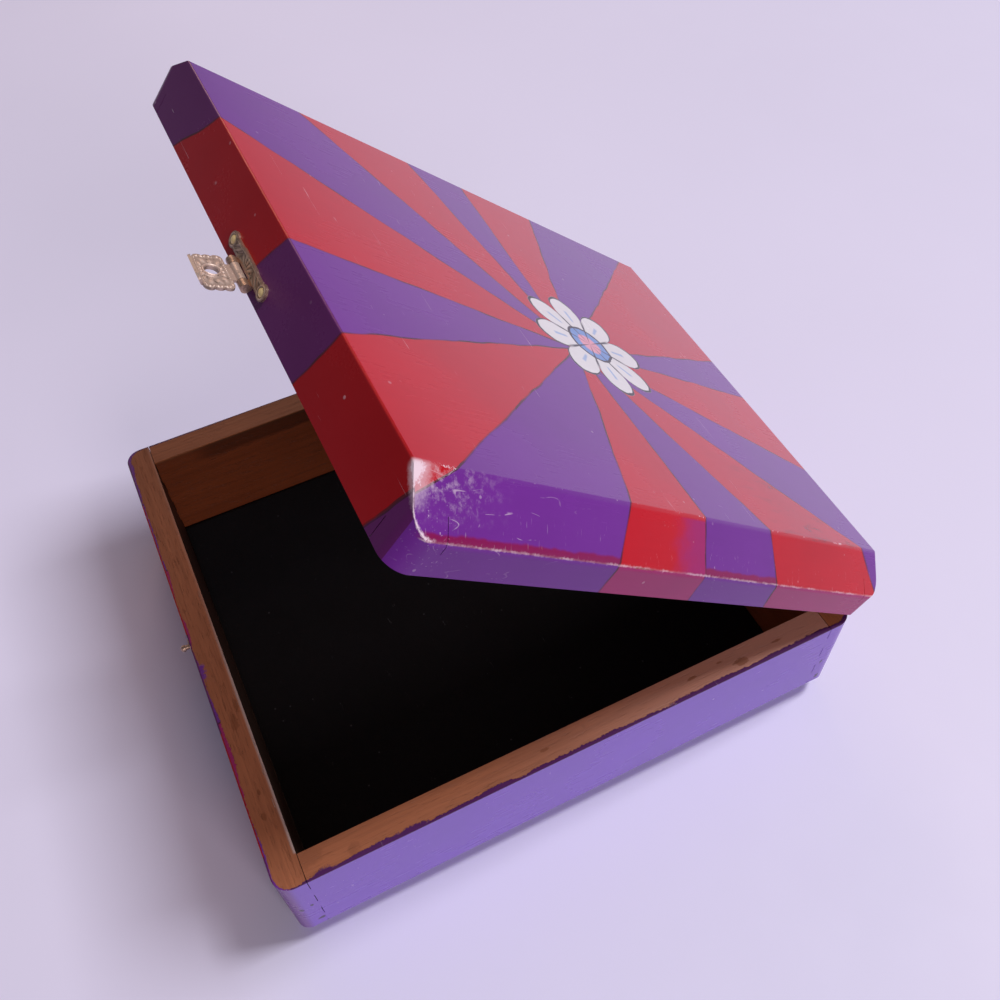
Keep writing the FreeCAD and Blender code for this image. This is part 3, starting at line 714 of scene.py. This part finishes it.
def board_material(node, seed):
    """Painted outside and bare cedar inside, for one board."""
    paint, wood = bpy.context.scene.cigar_box_paint, bpy.context.scene.cigar_box_wood
    on_lid = node in LID_BOARDS
    material, wires, shader, place = start_material(node + "_finish")
    point = with_lid_shut(wires, place) if on_lid else in_millimetres(wires, place)
    x, y, z = point.split()
    depth = LID_TOP - z if on_lid else z
    turn = (0.0, 0.0, math.pi / 2 if node in CROSS_GRAIN else 0.0)
    grain = {"Vector": point, "Location": (seed * 71.0, seed * 37.0, seed * 53.0), "Rotation": turn}
    grain_point = wires.node("ShaderNodeMapping", grain)
    skin = wires.finish(skin_group, point=wires.join(x, y, depth), overlap=paint.overlap / MM)
    cedar = wires.finish(cedar_group, point=grain_point, light=wood.light, dark=wood.dark)
    rays = wires.finish(
        sunburst_group, point=point, red=paint.red, purple=paint.purple, line=paint.line, width=paint.line_width / MM)
    covered = skin["Paint"]
    if on_lid:
        rosette = wires.finish(rosette_group, point=point)
        coat = wires.colour(rosette["Cover"] * depth.ease(1.2, 0.8), rays["Color"], rosette["Color"])
        low, step = LID_LOW, (LID_TOP - LID_LOW - FLOOR_LEVEL) / LID_FINGERS
        amount = x.ease(HALF_WIDTH - 22.0, HALF_WIDTH - 10.0, 0.0, 0.30)
        bare, joint_share = cedar["Color"], 0.06
    else:
        marks = wires.finish(marks_group, point=point)
        covered = most(covered, marks["Smudge"])
        # One purple in a lit copy on the sides, holding a painted reflection of the pale floor, and a darker copy on
        # the rim
        side = wires.colour(z.ease(RIM - 0.15, RIM - 0.6), paint.rim, paint.side)
        coat = wires.colour(y.ease(6.0 - HALF_DEPTH, 3.0 - HALF_DEPTH), side, rays["Color"])
        low, step = FLOOR_LEVEL, (RIM - FLOOR_LEVEL) / BASE_FINGERS
        amount = 0.06
        bare, joint_share = bare_wood(wires, cedar, marks, point, node, INNER_PAINTED_SHADE.get(node, 1.0)), 0.10
    fingers = wires.finish(finger_group, point=point, low=low, step=step)
    rubbed = wires.finish(rub_group, point=point, edge=skin["Edge"], reach=RUB_REACH, amount=amount)["Rub"] * 0.8
    if on_lid:
        # On the lid the rubbed mask also carries the pale hip and foot lines, which are part wear and part painted
        # highlight
        rubbed = most(rubbed, wires.finish(scuff_and_highlight_group, point=point)["Scuff_And_Highlight"])
    brushed = wires.finish(brushed_group, point=point, color=coat, ground=paint.worn_and_highlight)
    joint = fingers["Joint"] * covered * depth.ease(BEVEL_HEIGHT - 1.0, BEVEL_HEIGHT + 1.0, 0.0, joint_share)
    painted = wires.colour(joint * 0.35, wires.colour(rubbed, brushed["Color"], paint.worn_and_highlight), paint.line)
    if on_lid:
        fill_shader(
            wires, shader, Coat_Weight=covered * depth.ease(0.9, 0.3, 0.0, LID_COAT),
            Coat_Roughness=LID_COAT_ROUGHNESS, Specular_IOR_Level=LID_GLOSS)
    else:
        painted = wires.colour(marks["Chip"] * 0.9, painted, CHIP)
        fill_shader(wires, shader, Specular_IOR_Level=BASE_GLOSS)
    fill_shader(
        wires, shader, Base_Color=wires.colour(covered, bare, painted),
        Roughness=wires.either(covered, cedar["Roughness"], rubbed * 0.25 + brushed["Roughness"]),
        Height=wires.either(covered, cedar["Height"], brushed["Height"] - joint * 0.16 + 0.14))
    return material


def metal_material(name, metal, film=0.0, metallic=1.0):
    """Aged metal; where the piece keeps how deep its hollows are, the dark film lies in them."""
    material, wires, shader, place = start_material(name)
    hollow = wires.node("ShaderNodeAttribute", output="Fac", attribute_name="hollow") * film if film else 0.0
    patina = bpy.context.scene.cigar_box_metal.patina
    aged = wires.finish(aged_metal_group, point=in_millimetres(wires, place), metal=metal, patina=patina, hollow=hollow)
    fill_shader(
        wires, shader, Base_Color=aged["Color"], Roughness=aged["Roughness"], Metallic=metallic, Height=aged["Height"])
    return material


def felt_material():
    """Short matted fibres with lint and a nap that lies in patches."""
    material, wires, shader, place = start_material("black_felt")
    point = in_millimetres(wires, place)
    fibre = point.stretch((2.2, 0.7, 1.0)).noise(1.0, 4.0, 0.7, 1.2)
    cross_fibre = point.stretch((0.6, 2.0, 1.0)).noise(1.0, 4.0, 0.7, 1.2)
    nap = point.noise(0.030, 3.0, 0.6)
    lint = point.stretch((0.25, 1.2, 1.0)).noise(1.0, 2.0, 0.6, 1.5).ease(0.735, 0.76) * 0.5
    dust = point.spots(0.11).ease(0.06, 0.03) * 0.4
    base = wires.shade(bpy.context.scene.cigar_box_felt.felt, nap * 0.9 + most(fibre, cross_fibre) + 0.05)
    fill_shader(
        wires, shader, Base_Color=wires.colour(most(lint, dust), base, LINT), Roughness=nap * 0.15 + 0.85,
        Specular_IOR_Level=FELT_GLOSS, Sheen_Weight=FELT_SHEEN, Height=fibre * 0.22 + cross_fibre * 0.22)
    return material


def floor_material(colour):
    """Plain pale floor with a slow cloudiness. Matt surfaces get less light from what lies outside the picture."""
    material, wires, shader, place = start_material("pale_floor")
    point = in_millimetres(wires, place)
    x, y, _ = point.split()
    fade = (x * BACK_WAY[0] + y * BACK_WAY[1]).ease(*BACK_FADE) * y.ease(*FRONT_FADE)
    for ray in ("Is Camera Ray", "Is Glossy Ray", "Is Transmission Ray"):
        fade = most(fade, wires.node("ShaderNodeLightPath", output=ray))
    cloud = (point.noise(0.004, 3.0) * 0.08 + 0.96) * fade
    fill_shader(wires, shader, Base_Color=wires.shade(colour, cloud), Roughness=point.noise(0.05, 3.0) * 0.1 + 0.55)
    return material


def dress(node, material):
    """Put a material on every slot of a CAD node."""
    for slot in frame["nodes"][node].material_slots:
        slot.material = material


# Surfaces


def mesh_piece(name, points, faces, material):
    """A new object at the origin from points in millimetres and rows of corner numbers."""
    mesh = bpy.data.meshes.new(name)
    mesh.from_pydata((points.reshape(-1, 3) * MM).tolist(), [], faces.tolist())
    mesh.polygons.foreach_set("use_smooth", np.ones(len(mesh.polygons), bool))
    mesh.materials.append(material)
    mesh.update()
    piece = bpy.data.objects.new(name, mesh)
    bpy.context.scene.collection.objects.link(piece)
    return piece


def grid_faces(rows, columns, rows_closed=False, columns_closed=False):
    """Four corner numbers for each cell of a grid of points, with either direction joined end to start."""
    row = np.arange(rows if rows_closed else rows - 1)[:, None]
    column = np.arange(columns if columns_closed else columns - 1)[None, :]
    here, below = row * columns, (row + 1) % rows * columns
    after = (column + 1) % columns
    return np.stack([here + column, here + after, below + after, below + column], axis=-1).reshape(-1, 4)


def capped_faces(rows, columns):
    """Faces of a tube whose section runs out along the top and back underneath, each end shut across the section."""
    cell = np.arange(columns // 2 - 1)
    cap = np.stack([cell + 1, cell, columns - 1 - cell, columns - 2 - cell], axis=-1)
    return np.concatenate([grid_faces(rows, columns, columns_closed=True), cap, cap[:, ::-1] + (rows - 1) * columns])


def felt_points(ripple, thickness):
    """Felt's upper face: a flat grid over the lining, lifted by slow sine waves that fade out at the cut edges."""
    low, high = LINING.min(axis=0), LINING.max(axis=0)
    x, y = np.meshgrid(np.linspace(low[0], high[0], 96), np.linspace(low[1], high[1], 107), indexing="ij")
    edge = np.minimum(np.minimum(x - low[0], high[0] - x), np.minimum(y - low[1], high[1] - y))
    waves = np.sin(x / 23.0 + 0.6) * np.sin(y / 31.0)
    waves = waves + 0.6 * np.sin((x + y) / 13.0) + 0.5 * np.sin((x - 0.4 * y) / 37.0 + 1.0)
    lift = ripple * waves * np.clip(edge / 12.0, 0.0, 1.0)
    return np.stack([x, y, low[2] + thickness + 2.2 * ripple + lift], axis=-1)


def relief(across, proud, along, shape):
    """A stamped face over a flat underside sunk in the metal, each row going out along the face and back below, and how
    hollow each point is: one less the ornament's share of its full height."""
    top = np.stack([across, -proud, along], axis=-1)
    under = np.stack([across, np.full_like(along, RELIEF_BACK), along], axis=-1)[:, ::-1]
    hollow = np.concatenate([np.clip(1.0 - shape, 0.0, 1.0), np.ones_like(shape)], axis=1)
    return np.concatenate([top, under], axis=1), hollow


def leaf_relief(height):
    """Stamped ornament round the hasp leaf's eye: rings grow from the eye to the lobed outline, and their height is a
    raised lip, waving petals and a row of beads."""
    bearings = np.linspace(0.0, 2 * np.pi, 192, endpoint=False)[:, None]
    share = np.linspace(0.0, 1.0, 34)[None, :]
    away = np.concatenate([np.sin(bearings), np.cos(bearings)], axis=1)
    inner = 1.0 / np.sqrt(((away / (EYE_HALF + 0.12)) ** 2).sum(axis=-1))[:, None]
    lobes = np.array([(sign * LEAF_WAIST, EYE_DROP - level) for sign in (-1, 1) for level in LOBE_LEVELS])
    ahead = away @ lobes.T
    chord = ahead ** 2 - (lobes ** 2).sum(axis=-1) + LOBE_RADIUS ** 2
    lobe_exit = np.where(chord > 0, ahead + np.sqrt(np.maximum(chord, 0.0)), 0.0)
    with np.errstate(divide="ignore"):
        side_exit = LEAF_WAIST / np.abs(away[:, 0])
        end_exit = np.where(away[:, 1] > 0, EYE_DROP - LEAF_START, LEAF_END - EYE_DROP) / np.abs(away[:, 1])
    outer = np.maximum(np.minimum(side_exit, end_exit), lobe_exit.max(axis=1))[:, None] - 0.22
    reach = inner + share * (outer - inner)
    past_eye = reach - inner
    lip = np.exp(-((past_eye - 0.36) / 0.26) ** 2)
    petals = (0.5 + 0.5 * np.cos(14 * bearings)) * np.sin(np.pi * np.clip((share - 0.20) / 0.58, 0.0, 1.0)) ** 2
    beads = np.exp(-((share - 0.89) / 0.06) ** 2) * (0.55 + 0.45 * np.cos(40 * bearings))
    shape = np.maximum(np.maximum(lip, 0.55 * petals), 0.75 * beads) + 0.12
    shape = shape * np.clip(np.minimum(share, 1.0 - share) / 0.04, 0.0, 1.0)
    border = np.where(past_eye < EYE_BORDER - 0.12, EYE_BORDER_HEIGHT, 0.0)
    return relief(away[:, 0:1] * reach, RELIEF_FOOT + height * shape + border, away[:, 1:2] * reach, shape)


def plate_relief(height):
    """Stamped ornament on the hasp's plate: cross-sections carried along the plate, each from its lower edge to its
    upper one; the height is a fan of ribs in the middle, two rings round the nails and a raised border."""
    margin = 0.25
    end = NAIL_REACH + WING_RADIUS - 0.35
    x = np.linspace(-end, end, 138)[:, None]
    share = np.linspace(0.0, 1.0, 30)[None, :]
    out = np.abs(x)
    lobe = np.sqrt(np.maximum((WING_RADIUS - margin) ** 2 - (out - NAIL_REACH) ** 2, 0.0))
    past_nail = out > NAIL_REACH
    low = np.where(past_nail, NAIL_LEVEL - lobe, np.minimum(WING_LOW + margin, NAIL_LEVEL - lobe))
    low = np.where(out < KNUCKLE_OPENING + 0.3, np.maximum(low, KNUCKLE_SWEEP + margin), low)
    crown = PLATE_TOP / 3
    past_crown = np.maximum(out - (PLATE_HALF - margin - crown), 0.0)
    arch = PLATE_TOP - margin - crown + np.sqrt(np.maximum(crown ** 2 - past_crown ** 2, 0.0))
    wing = np.where(past_nail, NAIL_LEVEL + lobe, np.maximum(WING_LOW + WING_HEIGHT - margin, NAIL_LEVEL + lobe))
    high = np.where(out < PLATE_HALF - margin, np.maximum(arch, wing), wing)
    z = low + share * (high - low)
    fan = (0.5 + 0.5 * np.cos(15 * np.arctan2(x, z - 1.0))) * np.exp(-((np.hypot(x, z - 1.0) - 3.4) / 1.6) ** 2)
    from_nail = np.hypot(out - NAIL_REACH, z - NAIL_LEVEL)
    ring = np.exp(-((from_nail - 1.85) / 0.30) ** 2)
    scroll = (0.5 + 0.5 * np.cos(2.6 * out + 3.0 * (z - NAIL_LEVEL))) * np.exp(-((out - 7.4) / 2.2) ** 2)
    edge = np.exp(-(np.minimum(share, 1.0 - share) * (high - low) - 0.40) ** 2 / 0.05)
    shape = np.maximum.reduce([fan, 0.9 * ring, 0.8 * scroll, 0.6 * edge]) + 0.10
    shape = shape * np.clip(np.minimum(share, 1.0 - share) / 0.05, 0.0, 1.0)
    return relief(x + 0 * z, RELIEF_FOOT + height * shape * np.where(from_nail < 1.45, 0.2, 1.0), z, shape)


def nail_seats(corners, outward):
    """Middle of each nail's flat end: the corners farthest out along Y, parted where they lie far apart along X."""
    height = outward * corners[:, 1]
    ends = corners[height > height.max() - HEAD_SINK]
    ends = ends[np.argsort(ends[:, 0])]
    groups = np.split(ends, np.flatnonzero(np.diff(ends[:, 0]) > NAIL_SPACING) + 1)
    return np.array([(group.min(axis=0) + group.max(axis=0)) / 2 for group in groups])


def nail_heads(seats, outward):
    """Caps of a ball on their seats: rings go by equal steps of angle from the pole to the rim and then straight down
    by the sink, and their points by equal steps of bearing; fans shut the pole and the underside."""
    ball = (HEAD_RADIUS ** 2 + HEAD_HEIGHT ** 2) / (2 * HEAD_HEIGHT)
    rings, bearings = 9, 32
    tilt = np.linspace(0.0, math.asin(HEAD_RADIUS / ball), rings)[1:]
    reach = np.append(ball * np.sin(tilt), HEAD_RADIUS)[:, None]
    lift = np.append(ball * np.cos(tilt) - ball + HEAD_HEIGHT, -HEAD_SINK)[:, None]
    bearing = np.linspace(0.0, 2 * np.pi, bearings, endpoint=False)[None, :]
    wall = np.stack([reach * np.cos(bearing), outward * lift + 0 * bearing, reach * np.sin(bearing)], axis=-1)
    ends = np.array([[0.0, outward * HEAD_HEIGHT, 0.0], [0.0, -outward * HEAD_SINK, 0.0]])
    head = np.concatenate([ends[:1], wall.reshape(-1, 3), ends[1:]])
    here = np.arange(bearings)
    after = (here + 1) % bearings
    cells = grid_faces(rings, bearings, columns_closed=True) + 1
    low = 1 + (rings - 1) * bearings
    top_fan = np.stack([0 * here, 1 + after, 1 + here], axis=-1)
    low_fan = np.stack([0 * here + len(head) - 1, low + here, low + after], axis=-1)
    faces = np.concatenate([cells[:, [0, 1, 2]], cells[:, [0, 2, 3]], top_fan, low_fan])[:, ::int(outward)]
    points = seats[:, None, :] + head[None]
    return points, (faces[None] + len(head) * np.arange(len(seats))[:, None, None]).reshape(-1, 3)


def add_nail_heads(name, node, body, material):
    """Put a round head on each nail of a CAD node; the lid's are placed with it shut and turned with it."""
    corners = shut_points(node) if body == "lid" else node_points(node)
    outward = math.copysign(1.0, float(corners[:, 1].mean()))
    points, faces = nail_heads(nail_seats(corners, outward), outward)
    if body == "lid":
        points = turned(points, LID_TURN, LID_AXIS)
    heads = mesh_piece(name, points, faces, material)
    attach(heads, body)


def ornament(name, points, hollow, faces, material):
    """A stamped ornament that keeps how hollow each of its points is, for its material."""
    piece = mesh_piece(name, points, faces[:, ::-1], material)
    values = piece.data.attributes.new("hollow", "FLOAT", "POINT").data
    values.foreach_set("value", hollow.reshape(-1).astype(np.float32))
    return piece


# Operators


class CIGARBOX_OT_base(bpy.types.Operator):
    """Paint the base's boards outside and leave their cedar bare inside"""

    bl_idname = "cigar_box.base"
    bl_label = "Base boards"

    def execute(self, context):
        for seed, node in enumerate(BASE_BOARDS):
            dress(node, board_material(node, seed))
        return {"FINISHED"}


class CIGARBOX_OT_lid(bpy.types.Operator):
    """Paint the sunburst on the lid's boards"""

    bl_idname = "cigar_box.lid"
    bl_label = "Lid boards"

    def execute(self, context):
        for seed, node in enumerate(LID_BOARDS, len(BASE_BOARDS)):
            dress(node, board_material(node, seed))
        return {"FINISHED"}


class CIGARBOX_OT_felt(bpy.types.Operator):
    """Lay the felt on the floor of the box"""

    bl_idname = "cigar_box.felt"
    bl_label = "Felt"

    def execute(self, context):
        settings = context.scene.cigar_box_felt
        points = felt_points(settings.ripple / MM, settings.thickness / MM)
        piece = mesh_piece("felt_sheet", points, grid_faces(*points.shape[:2])[:, ::-1], felt_material())
        wall = piece.modifiers.new("Thickness", "SOLIDIFY")
        wall.thickness = settings.thickness
        wall.offset = -1.0
        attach(piece, "base")
        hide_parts("floor_lining")
        return {"FINISHED"}


class CIGARBOX_OT_hasp(bpy.types.Operator):
    """Finish the hasp in old nickel and bronze, stamp its ornament and put heads on its nails"""

    bl_idname = "cigar_box.hasp"
    bl_label = "Hasp"

    def execute(self, context):
        settings = context.scene.cigar_box_metal
        for node in HASP_NODES:
            # The leaf's darker nickel is partly painted shade on its edges
            metal, metallic = (settings.dull_and_shaded_nickel, PLATED) if node == "hasp_leaf" else (settings.bronze, RUBBED)
            dress(node, metal_material(node + "_finish", metal, metallic=metallic))
        height = settings.relief / MM
        points, hollow = leaf_relief(height)
        points = turned(points + HASP_AXIS - (0.0, LEAF_FRONT, EYE_DROP), HASP_TURN, HASP_AXIS)
        faces = grid_faces(*points.shape[:2], rows_closed=True, columns_closed=True)
        nickel = metal_material("stamped_leaf_nickel", settings.nickel, LEAF_FILM, PLATED)
        leaf = ornament("hasp_leaf_ornament", points, hollow, faces, nickel)
        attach(leaf, "hasp")
        points, hollow = plate_relief(height * PLATE_RELIEF_SHARE)
        shut_axis = turned(HASP_AXIS, -LID_TURN, LID_AXIS)
        points = turned(points + (shut_axis[0], -HALF_DEPTH - PLATE_FRONT, shut_axis[2]), LID_TURN, LID_AXIS)
        bronze = metal_material("stamped_plate_bronze", settings.rubbed, PLATE_FILM, RUBBED)
        plate = ornament("hasp_plate_ornament", points, hollow, capped_faces(*points.shape[:2]), bronze)
        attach(plate, "lid")
        gilt = metal_material("hasp_nail_gilt", settings.gilt, metallic=PLATED)
        add_nail_heads("hasp_nail_heads", "hasp_nails", "lid", gilt)
        return {"FINISHED"}


class CIGARBOX_OT_knob(bpy.types.Operator):
    """Finish the catch knob in old bronze"""

    bl_idname = "cigar_box.knob"
    bl_label = "Catch knob"

    def execute(self, context):
        dress("catch_knob", metal_material("catch_knob_finish", context.scene.cigar_box_metal.bronze))
        return {"FINISHED"}


class CIGARBOX_OT_hinges(bpy.types.Operator):
    """Finish the hinges, pins and nails in old brass and put heads on the nails"""

    bl_idname = "cigar_box.hinges"
    bl_label = "Hinges"

    def execute(self, context):
        finish = metal_material("hinge_finish", context.scene.cigar_box_metal.brass)
        for node in BRASS_NODES:
            dress(node, finish)
        add_nail_heads("hinge_base_nail_heads", "hinge_base_nails", "base", finish)
        add_nail_heads("hinge_lid_nail_heads", "hinge_lid_nails", "lid", finish)
        return {"FINISHED"}


class CIGARBOX_OT_stage(bpy.types.Operator):
    """Set the pale floor, the soft light and the camera"""

    bl_idname = "cigar_box.stage"
    bl_label = "Stage"

    def execute(self, context):
        settings = context.scene.cigar_box_stage
        x, y = np.meshgrid((-FLOOR_HALF, FLOOR_HALF), (-FLOOR_HALF, FLOOR_HALF), indexing="ij")
        points = np.stack([x, y, np.zeros_like(x)], axis=-1)
        floor = mesh_piece("floor", points, grid_faces(2, 2)[:, ::-1], floor_material(settings.floor))
        world = bpy.data.worlds.new("soft_sky")
        world.use_nodes = True
        world.node_tree.nodes["Background"].inputs["Color"].default_value = (*settings.sky, 1.0)
        context.scene.world = world
        for name, (way, distance, power, power_share, size_share, colour) in LAMPS.items():
            lamp = bpy.data.lights.new(name, "AREA")
            lamp.energy = getattr(settings, power) * power_share
            lamp.size, lamp.color = settings.key_size * size_share, colour
            holder = bpy.data.objects.new(name, lamp)
            holder.location = Vector(way) * distance
            holder.rotation_euler = holder.location.to_track_quat("Z", "Y").to_euler()
            context.scene.collection.objects.link(holder)
        self.add_camera(context, settings)
        context.scene.view_settings.view_transform = "Standard"
        return {"FINISHED"}

    def add_camera(self, context, settings):
        lens = bpy.data.cameras.new("camera")
        lens.sensor_width, lens.lens, lens.clip_start = SENSOR_WIDTH, settings.camera_lens, NEAREST_SEEN
        camera = bpy.data.objects.new("camera", lens)
        away = Vector(settings.camera_place) - Vector(settings.camera_aim)
        aim = away.to_track_quat("Z", "Y").to_matrix().to_4x4()
        roll = Matrix.Rotation(settings.camera_roll, 4, "Z")
        camera.matrix_world = Matrix.Translation(settings.camera_place) @ aim @ roll
        context.scene.collection.objects.link(camera)
        context.scene.camera = camera


STEPS = (
    CIGARBOX_OT_base, CIGARBOX_OT_lid, CIGARBOX_OT_felt, CIGARBOX_OT_hasp, CIGARBOX_OT_knob, CIGARBOX_OT_hinges,
    CIGARBOX_OT_stage,
)
SETTINGS = {
    "cigar_box_paint": CigarBoxPaint, "cigar_box_wood": CigarBoxWood, "cigar_box_metal": CigarBoxMetal,
    "cigar_box_felt": CigarBoxFelt, "cigar_box_stage": CigarBoxStage,
}


class CIGARBOX_PT_panel(bpy.types.Panel):
    """Every step of dressing the box, and its settings"""

    bl_idname = "CIGARBOX_PT_panel"
    bl_label = "Cigar box"
    bl_space_type = "VIEW_3D"
    bl_region_type = "UI"
    bl_category = "Cigar box"

    def draw(self, context):
        for step in STEPS:
            self.layout.operator(step.bl_idname)
        for name, group in SETTINGS.items():
            column = self.layout.column(heading=group.__doc__)
            for setting in group.__annotations__:
                column.prop(getattr(context.scene, name), setting)


def register():
    for group in SETTINGS.values():
        bpy.utils.register_class(group)
    for name, group in SETTINGS.items():
        setattr(bpy.types.Scene, name, PointerProperty(type=group))
    for made in (*STEPS, CIGARBOX_PT_panel):
        bpy.utils.register_class(made)


def unregister():
    for made in reversed((*STEPS, CIGARBOX_PT_panel)):
        bpy.utils.unregister_class(made)
    for name in SETTINGS:
        delattr(bpy.types.Scene, name)
    for group in reversed(tuple(SETTINGS.values())):
        bpy.utils.unregister_class(group)


def main():
    register()
    bpy.ops.cigar_box.base()
    bpy.ops.cigar_box.lid()
    bpy.ops.cigar_box.felt()
    bpy.ops.cigar_box.hasp()
    bpy.ops.cigar_box.knob()
    bpy.ops.cigar_box.hinges()
    bpy.ops.cigar_box.stage()


if __name__ == "__main__":
    main()
